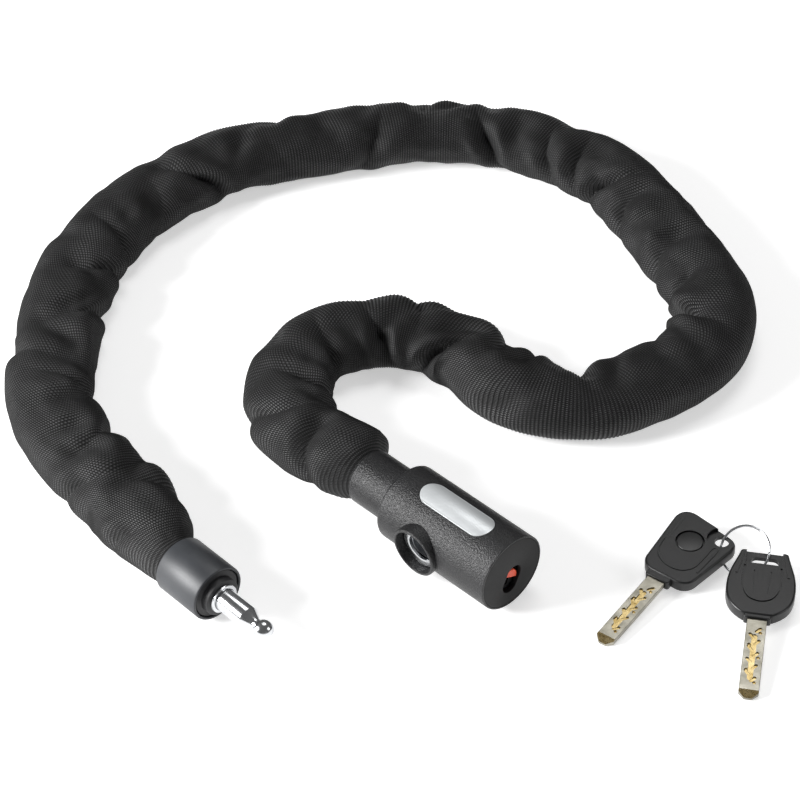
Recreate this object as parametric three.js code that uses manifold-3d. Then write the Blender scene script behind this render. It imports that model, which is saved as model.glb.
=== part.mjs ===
// A chain lock laid out on a surface: a cylinder lock body with a side socket, a steel chain in a
// woven sleeve, the ferrule with its locking pin at the far end, and two keys on a ring.
// Millimetres, +Z up. The origin is on the surface, under the middle of the whole.
import * as THREE from "three";
import { mergeVertices } from "three/addons/utils/BufferGeometryUtils.js";
import Module from "manifold-3d";

const wasm = await Module();
wasm.setup();

// ---- Driving dimensions ----
const GAP = 0.3; // between fixed neighbours
const REST_CLEARANCE = 0.05; // under the keys and the ring, and behind the label

// lock body, in its own frame: +X along the body from the shoulder to the keyhole end
const LOCK_PLACE = { x: 6.1, y: -98.9, turn: -45.4, roll: 5.2 };
const BODY_R = 17;
const BODY_LENGTH = 60.7;
const SHELL_WALL = 2.4;
const SHELL_REAR_WALL = 2.4;
const NECK_R = 12.2;
const NECK_WALL = 1.2;
const NECK_LENGTH = 21.3;
const NECK_WEB = 2.5; // thickness of the neck's inner wall
const BOSS_X = 23.4;
const BOSS_R = 11.2;
const BOSS_REACH = 18.9; // from the body's axis to the boss's front
const SOCKET_R = 9.8;
const SOCKET_FLAT = 13.6; // from the body's axis to the flat that closes the socket
const LINER = { thickness: 1.2, width: 3.6 }; // the bright guide around the bottom of the socket
const PIN_BORE_CLEARANCE = 0.35;
const LABEL = { x: 31.2, length: 37.5, width: 12, thickness: 0.6, recess: 0.8 };
const CAP_THICKNESS = 1.9;
const CAP_RIM = 1.3;
const CAP_SET_BACK = 0.2;

// cylinder and latch
const PLUG_AXIS_Z = -3.6;
const PLUG_R = 6.6;
const PLUG_RUN_CLEARANCE = 0.3;
const KEYWAY_TURN = -30.7; // the keyhole leans over, degrees about the lock's axis
const KEYHOLE = { length: 13, width: 8.2 };
const FLAP = { width: 6.2, length: 5.8, thickness: 1, pivotZ: 4.3, setBack: 0.4, pocket: 7 };
const CAM_THICKNESS = 2;
const CAM_SPACE = 2.7; // between core and cylinder, where the cam turns
const CYLINDER_LENGTH = 21.4;
const CAM_PEG = { r: 1.5, throw: 3.54, length: 2.8 };
const YOKE = { reach: 1.2, half: 3.4 }; // how far the latch's yoke stands around the cam's peg
const PEG_CLEARANCE = 0.35;
const LATCH = { y: 3.9, thickness: 2, width: 12.2, height: 7, notchR: 2.9, travel: 5 };
const STACK_STEPS = [5.9, 10.9]; // the pin stacks, from the cylinder's back
const STACK_PIN_R = 1.2;
const STACK_REACH = 11.6; // the driver pins' far ends, from the plug's axis

// chain and sleeve
const LINK_COUNT = 29;
const LINK_WIRE = 5;
const LINK_INNER_WIDTH = 9;
const LINK_PLAY = 1.8;
const LINK_ROLL = 45; // neighbours lean opposite ways
const ANCHOR_PIN_R = 2.5;
const ANCHOR_X = -3; // where the first link bears, in the lock's frame
const EAR = { thickness: 2.8, width: 11, reach: 6.5, play: 0.4, bore: 0.2 };
const SLEEVE_LEAD = 6; // the sleeve leaves the neck and the ferrule square to them
const SLEEVE = { width: 37, height: 24, wall: 0.6, square: 2.5, step: 16 };
const CHAIN_Z = 9.3; // the chain's middle above the surface
const JOINT_LINKS = [6, 15, 24]; // the links that the chain's hinges lead into
const JOINT_OPENING = 3.9; // each way from a hinge, where the sleeve's solids stop
const RISE = [14, 60]; // the chain comes down to rest between these distances from the rims
const LEAD = 15.5; // the chain keeps straight this far outside the neck and the ferrule
const ROUTE = [
  [-20, -71], [-41, -46], [-45, -20], [-38, 2], [-17, 17.5], [9, 18], [32, 5], [55, -23], [87, -30], [117, -15],
  [140, 9], [146, 43], [136, 75], [123, 107], [108, 137], [83, 160], [53, 175], [20, 179], [-14, 175],
  [-47, 165], [-79, 154], [-105, 134], [-126, 107], [-141, 77], [-148, 43], [-149, 9], [-149, -25],
  [-137, -56], [-117, -84], [-107, -96],
];

// ferrule end, in its own frame: +X along the locking pin, from the ferrule's front face
const FERRULE_PLACE = { x: -69.6, y: -148.3, turn: -46.8 };
const FERRULE_R = 12.35;
const FERRULE_WALL = 1.3;
const FERRULE_LENGTH = 23;
const FERRULE_FACE = 0.6; // how far the front face stands in from the ferrule's rim
const COLLAR = { r: 8.2, length: 3.7, thickness: 3.7 };
const WASHER = { r: 6.3, thickness: 1.2 };
const PIN = { r: 4.8, shaft: 19.8, coneEnd: 24.3, neckR: 2.4, ballX: 29, ballR: 4.25, base: 2.2 };
const FERRULE_ANCHOR_X = -12.5; // where the last link bears

// keys and ring
const RING = { x: 145.3, y: -118.7, r: 10.4, wire: 1.2, tilt: 40, turn: -37.3 };
const EYE_ANGLES = [188, -8]; // where the keys sit on the ring
const BLADE = { width: 8, thickness: 2.4, length: 40.5, tang: 8, tip: 2.4 };
const HEAD_THICKNESS = 5.4;
const HEAD_CORNER_R = 6;
const LUG_THICKNESS = 1.8;
const BOLSTER = { length: 3.5, width: 11, thickness: 4.4 };
const KEY_1 = { turn: 53.4, eye: [32.7, -10.8], eyeR: 3, lugR: 6.4, discX: 24.2, discY: -0.6, discR: 5.4 };
const KEY_2 = { turn: 79.3, eye: [30.8, -0.5], slot: [11.3, 4.8], length: 35.8, width: 28, lugHalf: 7.4 };
const DISC_THICKNESS = 1.2;

// ---- Materials ----
const paint = (color, roughness, metalness) =>
  new THREE.MeshStandardMaterial({ color, roughness, metalness });
const BLACK_PAINT = paint(0x2c2d2f, 0.45, 0.3);
const BLACK_PLASTIC = paint(0x1c1c1d, 0.5, 0);
const GREY_FERRULE = paint(0x4c4e52, 0.45, 0.4);
const STEEL = paint(0x8d9094, 0.35, 1);
const BRIGHT_STEEL = paint(0xd6d8da, 0.15, 1);
const BRASS = paint(0xb5933f, 0.35, 1);
const NICKEL = paint(0x9d9a8c, 0.3, 1);
const SILVER_LABEL = paint(0xc9ccce, 0.4, 0.3);
const RED_PLASTIC = paint(0xc8321e, 0.4, 0);
const WOVEN_NYLON = paint(0x161617, 0.85, 0);

// ---- Solids ----
const rad = THREE.MathUtils.degToRad;
const ROUND = 40;
const SMALL_ROUND = 16;

function solid(geometry) {
  const bare = geometry.index ? geometry.toNonIndexed() : geometry.clone();
  bare.deleteAttribute("normal");
  bare.deleteAttribute("uv");
  const merged = mergeVertices(bare, 1e-4);
  return new wasm.Manifold(new wasm.Mesh({
    numProp: 3,
    vertProperties: merged.attributes.position.array,
    triVerts: new Uint32Array(merged.index.array),
  }));
}

const cut = (first, ...others) => others.reduce((a, b) => a.subtract(b), first);
const join = (first, ...others) => others.reduce((a, b) => a.add(b), first);

function piece(name, shape, material) {
  let geometry = shape;
  if (!shape.isBufferGeometry) {
    const made = shape.getMesh();
    geometry = new THREE.BufferGeometry();
    geometry.setAttribute("position", new THREE.BufferAttribute(made.vertProperties, 3));
    geometry.setIndex(new THREE.BufferAttribute(made.triVerts, 1));
    geometry.computeVertexNormals();
  }
  const mesh = new THREE.Mesh(geometry, material);
  mesh.name = name;
  return mesh;
}

// A rod between two places along an axis ("x", "y" or "z"), centred at the other two coordinates.
function rod(axis, r, from, to, [a, b] = [0, 0], segments = ROUND) {
  const g = new THREE.CylinderGeometry(r, r, to - from, segments);
  const middle = (from + to) / 2;
  if (axis === "x") g.rotateZ(-Math.PI / 2).translate(middle, a, b);
  else if (axis === "y") g.translate(a, middle, b);
  else g.rotateX(Math.PI / 2).translate(a, b, middle);
  return solid(g);
}

function block([x0, x1], [y0, y1], [z0, z1]) {
  const g = new THREE.BoxGeometry(x1 - x0, y1 - y0, z1 - z0);
  return solid(g.translate((x0 + x1) / 2, (y0 + y1) / 2, (z0 + z1) / 2));
}

// A long round-ended outline, length along x.
function stadium(length, width) {
  const r = width / 2;
  const half = Math.max(length / 2 - r, 0);
  const shape = new THREE.Shape();
  shape.absarc(half, 0, r, -Math.PI / 2, Math.PI / 2);
  shape.absarc(-half, 0, r, Math.PI / 2, 1.5 * Math.PI);
  return shape;
}

// An outline extruded along Z from one height to another.
function slab(shape, from, to, curveSegments = 10) {
  const g = new THREE.ExtrudeGeometry(shape, { depth: to - from, bevelEnabled: false, curveSegments });
  return g.translate(0, 0, from);
}

// A polygon with its corners rounded.
function roundedOutline(corners, r) {
  const shape = new THREE.Shape();
  const count = corners.length;
  corners.forEach(([x, y], i) => {
    const here = new THREE.Vector2(x, y);
    const before = new THREE.Vector2(...corners[(i + count - 1) % count]).sub(here);
    const after = new THREE.Vector2(...corners[(i + 1) % count]).sub(here);
    const half = before.angleTo(after) / 2;
    const reach = r / Math.tan(half);
    const start = here.clone().add(before.setLength(reach));
    const end = here.clone().add(after.setLength(reach));
    if (i === 0) shape.moveTo(start.x, start.y);
    else shape.lineTo(start.x, start.y);
    shape.quadraticCurveTo(x, y, end.x, end.y);
  });
  shape.closePath();
  return shape;
}

// ---- Lock body ----
const lockBack = BODY_LENGTH - CAP_SET_BACK - CAP_THICKNESS; // where the end cap's back lies
const cylinderFront = lockBack - 2 * GAP;
const cylinderBack = cylinderFront - CYLINDER_LENGTH;
const stackXs = STACK_STEPS.map((step) => cylinderBack + step);
const coreFront = cylinderBack - CAM_SPACE;
const innerR = BODY_R - SHELL_WALL;
const coreR = innerR - GAP;
const pinBoreR = PIN.r + PIN_BORE_CLEARANCE;
const neckWebEnd = ANCHOR_X + LINK_PLAY / 2 + LINK_WIRE + 2 * GAP + NECK_WEB;
const coreBack = neckWebEnd + GAP;

// Turns a solid of the plug's frame, where the keyway stands upright, into the lock's frame.
function inPlug(shape) {
  return shape.rotate([KEYWAY_TURN, 0, 0]).translate([0, 0, PLUG_AXIS_Z]);
}

function labelPrism(extra) {
  const outline = stadium(LABEL.length + 2 * extra, LABEL.width + 2 * extra);
  return solid(slab(outline, 0, BODY_R + 2)).translate([LABEL.x, 0, 0]);
}

function lockShell() {
  const boss = rod("y", BOSS_R, -BOSS_REACH, 0, [BOSS_X, 0]);
  const capSeat = rod("x", BODY_R - CAP_RIM + GAP / 2, lockBack - GAP, BODY_LENGTH + 1);
  const inside = rod("x", innerR, SHELL_REAR_WALL, BODY_LENGTH + 1);
  const neckHole = rod("x", NECK_R + GAP, -1, SHELL_REAR_WALL + 1);
  const socket = rod("y", SOCKET_R, -BOSS_REACH - 1, 0, [BOSS_X, 0]);
  const labelSeat = cut(labelPrism(GAP), rod("x", BODY_R - LABEL.recess, 0, BODY_LENGTH));
  const whole = join(rod("x", BODY_R, 0, BODY_LENGTH), boss);
  return cut(whole, inside, capSeat, neckHole, socket, labelSeat);
}

// The guide ring that lies around the bottom of the side socket.
function socketLiner() {
  const outer = SOCKET_R - GAP;
  const inner = -SOCKET_FLAT - GAP;
  const bore = rod("y", outer - LINER.width, -BOSS_REACH, 0, [BOSS_X, 0]);
  return cut(rod("y", outer, inner - LINER.thickness, inner, [BOSS_X, 0]), bore);
}

function labelPlate() {
  const floor = BODY_R - LABEL.recess + REST_CLEARANCE;
  const skin = cut(rod("x", floor + LABEL.thickness, 0, BODY_LENGTH), rod("x", floor, -1, BODY_LENGTH + 1));
  return labelPrism(0).intersect(skin);
}

function endCap() {
  const keyhole = solid(slab(stadium(KEYHOLE.length, KEYHOLE.width), 0, CAP_THICKNESS * 2));
  const upright = keyhole.rotate([0, 90, 0]).translate([lockBack - CAP_THICKNESS / 2, 0, 0]);
  return cut(rod("x", BODY_R - CAP_RIM - GAP / 2, lockBack, lockBack + CAP_THICKNESS), inPlug(upright));
}

// The two ears that hold a chain pin, reaching back along -X from a web, for a link that leans by roll.
function ears(webX, bearingX, roll) {
  const inner = LINK_WIRE / 2 + EAR.play;
  const end = bearingX - EAR.reach;
  const one = block([end, webX + 0.5], [-EAR.width / 2, EAR.width / 2], [inner, inner + EAR.thickness]);
  const pinHole = rod("z", ANCHOR_PIN_R + EAR.bore, -BODY_R, BODY_R, [bearingX - ANCHOR_PIN_R, 0], SMALL_ROUND);
  return join(cut(one, pinHole), cut(one.mirror([0, 0, 1]), pinHole)).rotate([roll, 0, 0]);
}

function chainPin(bearingX, roll) {
  const reach = LINK_WIRE / 2 + EAR.play + EAR.thickness;
  return rod("z", ANCHOR_PIN_R, -reach, reach, [bearingX - ANCHOR_PIN_R, 0], SMALL_ROUND).rotate([roll, 0, 0]);
}

function neckCollar(roll) {
  const webX = neckWebEnd - NECK_WEB;
  const tube = cut(rod("x", NECK_R, -NECK_LENGTH, neckWebEnd), rod("x", NECK_R - NECK_WALL, -NECK_LENGTH - 1, webX));
  return join(tube, ears(webX, ANCHOR_X, roll));
}

const latchLeft = BOSS_X - LATCH.width / 2;
const latchRest = LATCH.travel; // the fork's lower edge above the bore's axis when open
const pegY = CAM_PEG.throw * Math.SQRT1_2;
const pegZ = PLUG_AXIS_Z + pegY;
const camBack = cylinderBack - (CAM_SPACE + CAM_THICKNESS) / 2;
const yoke = {
  x: [camBack - CAM_PEG.length, coreFront - GAP],
  y: [CAM_PEG.throw / 7, LATCH.y + LATCH.thickness + YOKE.reach],
  z: [pegZ - YOKE.half, pegZ + YOKE.half],
};

function latch() {
  const plateY = [LATCH.y, LATCH.y + LATCH.thickness];
  const plate = block([latchLeft, yoke.x[1]], plateY, [latchRest, latchRest + LATCH.height]);
  const notch = rod("y", LATCH.notchR, plateY[0] - 1, plateY[1] + 1, [BOSS_X, latchRest], SMALL_ROUND);
  const arm = block([yoke.x[0], yoke.x[1]], plateY, [yoke.z[0], latchRest + LATCH.height]);
  const slotHalf = CAM_PEG.r + PEG_CLEARANCE;
  const slotEnd = CAM_PEG.throw + CAM_PEG.r + PEG_CLEARANCE;
  const slot = block([yoke.x[0] - 1, yoke.x[1] + 1], [-1, slotEnd], [pegZ - slotHalf, pegZ + slotHalf]);
  return cut(join(cut(plate, notch), arm, block(yoke.x, yoke.y, yoke.z)), slot);
}

function lockCore() {
  const pinBore = rod("y", pinBoreR, -BODY_R, coreR - 1, [BOSS_X, 0], 24);
  const seat = block([BOSS_X - SOCKET_R, BOSS_X + SOCKET_R], [-BODY_R, -SOCKET_FLAT], [-SOCKET_R, SOCKET_R]);
  const forkSlot = block(
    [latchLeft - GAP, coreFront + 1],
    [LATCH.y - GAP, LATCH.y + LATCH.thickness + GAP],
    [-GAP, latchRest + LATCH.height + GAP],
  );
  const yokeSpace = block(
    [yoke.x[0] - GAP, coreFront + 1],
    [yoke.y[0] - GAP, yoke.y[1] + GAP],
    [yoke.z[0] - LATCH.travel - GAP, yoke.z[1] + GAP],
  );
  return cut(rod("x", coreR, coreBack, coreFront), pinBore, seat, forkSlot, yokeSpace);
}

const keywayHalf = [BLADE.thickness / 2 + 0.25, BLADE.width / 2 + 0.3];

function stackHole(from, to) {
  return join(...stackXs.map((x) => rod("y", STACK_PIN_R + GAP, from, to, [x, 0], SMALL_ROUND)));
}

function cylinderBody() {
  const body = rod("x", coreR, cylinderBack, cylinderFront);
  const bore = rod("x", PLUG_R + PLUG_RUN_CLEARANCE, cylinderBack - 1, cylinderFront + 1);
  return cut(body, inPlug(bore), inPlug(stackHole(0, STACK_REACH + GAP)));
}

function plug() {
  const body = rod("x", PLUG_R, cylinderBack + GAP, cylinderFront);
  const keyway = block([cylinderBack + 2, cylinderFront + 1], [-keywayHalf[0], keywayHalf[0]],
    [-keywayHalf[1], keywayHalf[1]]);
  const pocket = block([cylinderFront - FLAP.pocket, cylinderFront + 1],
    [-FLAP.width / 2 - GAP, FLAP.width / 2 + GAP],
    [FLAP.pivotZ + 0.5 - FLAP.length - GAP, FLAP.pivotZ + 0.5 + GAP]);
  return inPlug(cut(body, keyway, pocket, stackHole(0, PLUG_R + 1)));
}

function keyPin(x) {
  return inPlug(rod("y", STACK_PIN_R, keywayHalf[0] + GAP, PLUG_R - GAP, [x, 0], SMALL_ROUND));
}

function driverPin(x) {
  return inPlug(rod("y", STACK_PIN_R, PLUG_R + 2 * GAP, STACK_REACH, [x, 0], SMALL_ROUND));
}

function shutterFlap() {
  const front = cylinderFront - FLAP.setBack;
  const top = FLAP.pivotZ + 0.5;
  return inPlug(block([front - FLAP.thickness, front], [-FLAP.width / 2, FLAP.width / 2], [top - FLAP.length, top]));
}

function driveCam() {
  const disc = rod("x", PLUG_R - GAP, camBack, camBack + CAM_THICKNESS, [0, PLUG_AXIS_Z], 24);
  return join(disc, rod("x", CAM_PEG.r, camBack - CAM_PEG.length + GAP, camBack + 1, [pegY, pegZ], SMALL_ROUND));
}

function framed(place, height) {
  const group = new THREE.Group();
  group.position.set(place.x, place.y, height);
  group.rotation.set(rad(place.roll ?? 0), 0, rad(place.turn), "ZYX");
  return group;
}

const lockFrame = framed(LOCK_PLACE, BODY_R);
const neckFrame = framed({ ...LOCK_PLACE, roll: 0 }, BODY_R);
lockFrame.add(
  piece("lock_shell", lockShell(), BLACK_PAINT),
  piece("socket_liner", socketLiner(), STEEL),
  piece("label_plate", labelPlate(), SILVER_LABEL),
  piece("end_cap", endCap(), BLACK_PLASTIC),
  piece("lock_core", lockCore(), STEEL),
  piece("latch", latch(), STEEL),
  piece("cylinder_body", cylinderBody(), BRASS),
  piece("plug", plug(), BRASS),
  piece("shutter_flap", shutterFlap(), RED_PLASTIC),
  piece("drive_cam", driveCam(), STEEL),
  ...stackXs.map((x, i) => piece(`key_pin_${i + 1}`, keyPin(x), BRASS)),
  ...stackXs.map((x, i) => piece(`driver_pin_${i + 1}`, driverPin(x), STEEL)),
);

// ---- Ferrule and locking pin ----
const collarBack = FERRULE_FACE - COLLAR.thickness;
const pinBaseFront = collarBack - GAP;
const pinBaseBack = pinBaseFront - PIN.base;

function ferrule() {
  const tube = rod("x", FERRULE_R, -FERRULE_LENGTH, FERRULE_FACE * 2);
  return cut(tube, rod("x", FERRULE_R - FERRULE_WALL, -FERRULE_LENGTH - 1, FERRULE_FACE * 2 + 1));
}

function ferruleCollar() {
  const face = rod("x", FERRULE_R - FERRULE_WALL - GAP, collarBack, FERRULE_FACE);
  const step = rod("x", COLLAR.r, 0, FERRULE_FACE + COLLAR.length);
  return cut(join(face, step), rod("x", PIN.r + GAP, collarBack - 1, FERRULE_FACE + COLLAR.length + 1));
}

function pinWasher() {
  const from = FERRULE_FACE + COLLAR.length + 0.1;
  return cut(rod("x", WASHER.r, from, from + WASHER.thickness), rod("x", PIN.r + 0.2, 0, from + 5));
}

function lockingPin(roll) {
  const outline = [[0, pinBaseFront - 1], [PIN.r, pinBaseFront - 1], [PIN.r, PIN.shaft], [PIN.neckR, PIN.coneEnd]];
  const neck = Math.asin(PIN.neckR / PIN.ballR);
  const steps = 9;
  for (let i = 0; i <= steps; i++) {
    const angle = neck + ((Math.PI - neck) * i) / steps;
    const r = i < steps ? PIN.ballR * Math.sin(angle) : 0;
    outline.push([r, PIN.ballX - PIN.ballR * Math.cos(angle)]);
  }
  const turned = new THREE.LatheGeometry(outline.map((p) => new THREE.Vector2(...p)), 24);
  const base = rod("x", FERRULE_R - FERRULE_WALL - GAP, pinBaseBack, pinBaseFront);
  return join(solid(turned.rotateZ(-Math.PI / 2)), base, ears(pinBaseBack, FERRULE_ANCHOR_X, roll));
}

// The ears lean with the last link, whose direction is the ferrule's own +X.
const ferruleFrame = framed(FERRULE_PLACE, FERRULE_R);
ferruleFrame.add(
  piece("ferrule", ferrule(), GREY_FERRULE),
  piece("ferrule_collar", ferruleCollar(), BLACK_PLASTIC),
  piece("pin_washer", pinWasher(), BRIGHT_STEEL),
  piece("locking_pin", lockingPin(LINK_ROLL), BRIGHT_STEEL),
  piece("ferrule_pin", chainPin(FERRULE_ANCHOR_X, LINK_ROLL), STEEL),
);
// Seen along the chain, which leaves the lock backwards, the first link leans the other way.
neckFrame.add(
  piece("neck_collar", neckCollar(-LINK_ROLL), BLACK_PAINT),
  piece("anchor_pin", chainPin(ANCHOR_X, -LINK_ROLL), STEEL),
);

// ---- Chain ----
for (const frame of [lockFrame, neckFrame, ferruleFrame]) frame.updateMatrixWorld(true);
const neckPoint = (x) => neckFrame.localToWorld(new THREE.Vector3(x, 0, 0));
const ferrulePoint = (x) => ferruleFrame.localToWorld(new THREE.Vector3(x, 0, 0));

// A line through points in plan, resting at one height and raised at its two ends; the rims of the
// neck and the ferrule are this far in from its ends.
function laidLine(points, restZ, neckRim, ferruleRim) {
  const plan = new THREE.CatmullRomCurve3(points.map((p) => new THREE.Vector3(p.x, p.y, 0)), false, "centripetal");
  plan.arcLengthDivisions = 2000;
  const length = plan.getLength();
  const steps = 160;
  const raised = plan.getSpacedPoints(steps).map((p, i) => {
    const fromStart = (length * i) / steps - neckRim;
    const fromEnd = length * (1 - i / steps) - ferruleRim;
    const atLock = 1 - THREE.MathUtils.smoothstep(fromStart, RISE[0], RISE[1]);
    const atFerrule = 1 - THREE.MathUtils.smoothstep(fromEnd, RISE[0], RISE[1]);
    p.z = restZ + (BODY_R - restZ) * atLock + (FERRULE_R - restZ) * atFerrule;
    return p;
  });
  const line = new THREE.CatmullRomCurve3(raised);
  line.arcLengthDivisions = 3000;
  return line;
}

const route = ROUTE.map((p) => new THREE.Vector3(...p, 0));
const chainRoute = laidLine([
  neckPoint(ANCHOR_X), neckPoint(-NECK_LENGTH), neckPoint(-NECK_LENGTH - LEAD), ...route.slice(1, -1),
  ferrulePoint(-FERRULE_LENGTH - LEAD), ferrulePoint(-FERRULE_LENGTH), ferrulePoint(FERRULE_ANCHOR_X),
], CHAIN_Z, NECK_LENGTH + ANCHOR_X, FERRULE_LENGTH + FERRULE_ANCHOR_X);
const sleeveRoute = laidLine([
  neckPoint(-NECK_LENGTH), neckPoint(-NECK_LENGTH - SLEEVE_LEAD), ...route,
  ferrulePoint(-FERRULE_LENGTH - SLEEVE_LEAD), ferrulePoint(-FERRULE_LENGTH),
], SLEEVE.height / 2, 0, 0);
const routePoints = chainRoute.getSpacedPoints(4000);

// Steps along the route in equal straight strides; gives the bearing points and how far it came.
function strides(pitch, count) {
  const points = [routePoints[0]];
  let at = 0;
  while (points.length <= count && at < routePoints.length - 1) {
    const last = points[points.length - 1];
    while (at < routePoints.length - 1 && routePoints[at].distanceTo(last) < pitch) at += 1;
    const step = routePoints[at].clone().sub(last).setLength(pitch);
    points.push(last.clone().add(step));
  }
  return { points, at };
}

// The pitch at which the links just reach from pin to pin.
function fittedPitch(count) {
  let low = 1;
  let high = (chainRoute.getLength() / count) * 1.1;
  for (let i = 0; i < 40; i++) {
    const middle = (low + high) / 2;
    const { points, at } = strides(middle, count);
    const full = points.length > count && at < routePoints.length - 1;
    if (full) low = middle;
    else high = middle;
  }
  return low;
}

const pitch = fittedPitch(LINK_COUNT);
const bearings = strides(pitch, LINK_COUNT).points;

function linkGeometry() {
  const straight = (pitch + LINK_PLAY - LINK_INNER_WIDTH) / 2;
  const r = (LINK_INNER_WIDTH + LINK_WIRE) / 2;
  const loop = new THREE.CurvePath();
  const points = [];
  const turns = 7;
  for (const side of [1, -1])
    for (let i = 0; i <= turns; i++) {
      const angle = (Math.PI * i) / turns - (side * Math.PI) / 2;
      points.push(new THREE.Vector3(side * straight + r * Math.cos(angle), r * Math.sin(angle), 0));
    }
  for (let i = 0; i < points.length; i++)
    loop.add(new THREE.LineCurve3(points[i], points[(i + 1) % points.length]));
  return sweptLoop(points, LINK_WIRE / 2, 8);
}

// A round wire along a closed flat loop of points, mitred at each.
function sweptLoop(points, r, sides) {
  const rings = points.map((p, i) => {
    const before = p.clone().sub(points[(i + points.length - 1) % points.length]).normalize();
    const after = points[(i + 1) % points.length].clone().sub(p).normalize();
    const along = before.clone().add(after).normalize();
    const out = new THREE.Vector3(along.y, -along.x, 0).multiplyScalar(1 / along.dot(after));
    return Array.from({ length: sides }, (_, k) => {
      const angle = (2 * Math.PI * (k + 0.5)) / sides;
      return p.clone().addScaledVector(out, r * Math.cos(angle)).add(new THREE.Vector3(0, 0, r * Math.sin(angle)));
    });
  });
  const position = rings.flat().flatMap((v) => [v.x, v.y, v.z]);
  const index = [];
  rings.forEach((_, i) => {
    for (let k = 0; k < sides; k++) {
      const a = i * sides + k;
      const b = i * sides + ((k + 1) % sides);
      const c = ((i + 1) % rings.length) * sides + k;
      const d = ((i + 1) % rings.length) * sides + ((k + 1) % sides);
      index.push(a, c, b, b, c, d);
    }
  });
  const geometry = new THREE.BufferGeometry();
  geometry.setAttribute("position", new THREE.Float32BufferAttribute(position, 3));
  geometry.setIndex(index);
  return geometry;
}

const chain = new THREE.Group();
const UP = new THREE.Vector3(0, 0, 1);
const oneLink = linkGeometry();
for (let i = 0; i < LINK_COUNT; i++) {
  const along = bearings[i + 1].clone().sub(bearings[i]).normalize();
  const side = UP.clone().cross(along).normalize();
  const link = piece(`chain_link_${String(i + 1).padStart(2, "0")}`, oneLink, STEEL);
  link.position.copy(bearings[i]).lerp(bearings[i + 1], 0.5);
  link.quaternion.setFromRotationMatrix(new THREE.Matrix4().makeBasis(along, side, along.clone().cross(side)));
  link.rotateX(rad(i % 2 ? -LINK_ROLL : LINK_ROLL));
  chain.add(link);
}

// ---- Sleeve ----
function sleeveSection() {
  const half = SLEEVE.height / 2;
  const ring = (inset, count) => Array.from({ length: count }, (_, i) => {
    const angle = (2 * Math.PI * i) / count;
    const power = (v) => Math.sign(v) * Math.abs(v) ** (2 / SLEEVE.square);
    return new THREE.Vector2(
      (half - inset) * power(Math.cos(angle)), (SLEEVE.width / 2 - inset) * power(Math.sin(angle)));
  });
  const shape = new THREE.Shape(ring(0, 16));
  shape.holes.push(new THREE.Path(ring(SLEEVE.wall, 16)));
  return shape;
}

const sleeveLength = sleeveRoute.getLength();

// How far along the sleeve a place in plan lies.
function alongSleeve(point) {
  const samples = sleeveRoute.getSpacedPoints(2000);
  const away = samples.map((p) => Math.hypot(p.x - point.x, p.y - point.y));
  return (away.indexOf(Math.min(...away)) / 2000) * sleeveLength;
}

const sleeveEnds = [
  GAP,
  ...JOINT_LINKS.map((k) => alongSleeve(bearings[k])).flatMap((s) => [s - JOINT_OPENING, s + JOINT_OPENING]),
  sleeveLength - GAP,
];
for (let i = 0; i < sleeveEnds.length; i += 2) {
  const [from, to] = [sleeveEnds[i], sleeveEnds[i + 1]];
  const steps = Math.round((to - from) / SLEEVE.step);
  const points = Array.from({ length: 2 * steps + 1 }, (_, k) =>
    sleeveRoute.getPointAt((from + ((to - from) * k) / (2 * steps)) / sleeveLength));
  const path = new THREE.CatmullRomCurve3(points);
  const tube = new THREE.ExtrudeGeometry(sleeveSection(), { steps, extrudePath: path, bevelEnabled: false });
  chain.add(piece(`sleeve_${i / 2 + 1}`, tube, WOVEN_NYLON));
}

// ---- Keys and ring ----
const ringFrame = new THREE.Group();
ringFrame.position.set(RING.x, RING.y, RING.r * Math.sin(rad(RING.tilt)) + RING.wire / 2 + REST_CLEARANCE);
ringFrame.rotation.set(rad(RING.tilt), 0, rad(RING.turn), "ZYX");
ringFrame.add(piece("key_ring", new THREE.TorusGeometry(RING.r, RING.wire / 2, 8, 40), BRIGHT_STEEL));
ringFrame.updateMatrixWorld(true);

function blade() {
  const { width, length, tang, tip } = BLADE;
  const outline = new THREE.Shape([
    [tang, -width / 2], [tang, width / 2], [-length + tip, width / 2], [-length, width / 2 - tip],
    [-length, -width / 2 + tip], [-length + tip, -width / 2],
  ].map((p) => new THREE.Vector2(...p)));
  return slab(outline, -BLADE.thickness / 2, BLADE.thickness / 2);
}

function withBolster(head) {
  const half = BOLSTER.thickness / 2;
  const bolster = block([-0.5, BOLSTER.length], [-BOLSTER.width / 2, BOLSTER.width / 2], [-half, half]);
  const tangHole = block(
    [-1, BLADE.tang + GAP],
    [-BLADE.width / 2 - GAP / 2, BLADE.width / 2 + GAP / 2],
    [-BLADE.thickness / 2 - GAP / 2, BLADE.thickness / 2 + GAP / 2],
  );
  return cut(join(head, bolster), tangHole);
}

function keyOneHead() {
  const half = HEAD_THICKNESS / 2;
  const outline = roundedOutline([[2.5, 9.7], [1.8, -13], [35, -18.7], [40.4, 12.8]], HEAD_CORNER_R);
  const body = solid(slab(outline, -half, half, 5));
  const [x, y] = KEY_1.eye;
  const hole = rod("z", KEY_1.eyeR, -half - 1, half + 1, [x, y], SMALL_ROUND);
  const above = rod("z", KEY_1.lugR, LUG_THICKNESS / 2, half + 1, [x, y], 24);
  const below = rod("z", KEY_1.lugR, -half - 1, -LUG_THICKNESS / 2, [x, y], 24);
  const discSeat = rod("z", KEY_1.discR + GAP, half - DISC_THICKNESS - GAP, half + 1, [KEY_1.discX, KEY_1.discY], 24);
  return withBolster(cut(body, hole, above, below, discSeat));
}

function keyOneDisc() {
  const top = HEAD_THICKNESS / 2 - 0.1;
  return rod("z", KEY_1.discR, top - DISC_THICKNESS, top, [KEY_1.discX, KEY_1.discY], 24);
}

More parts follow.
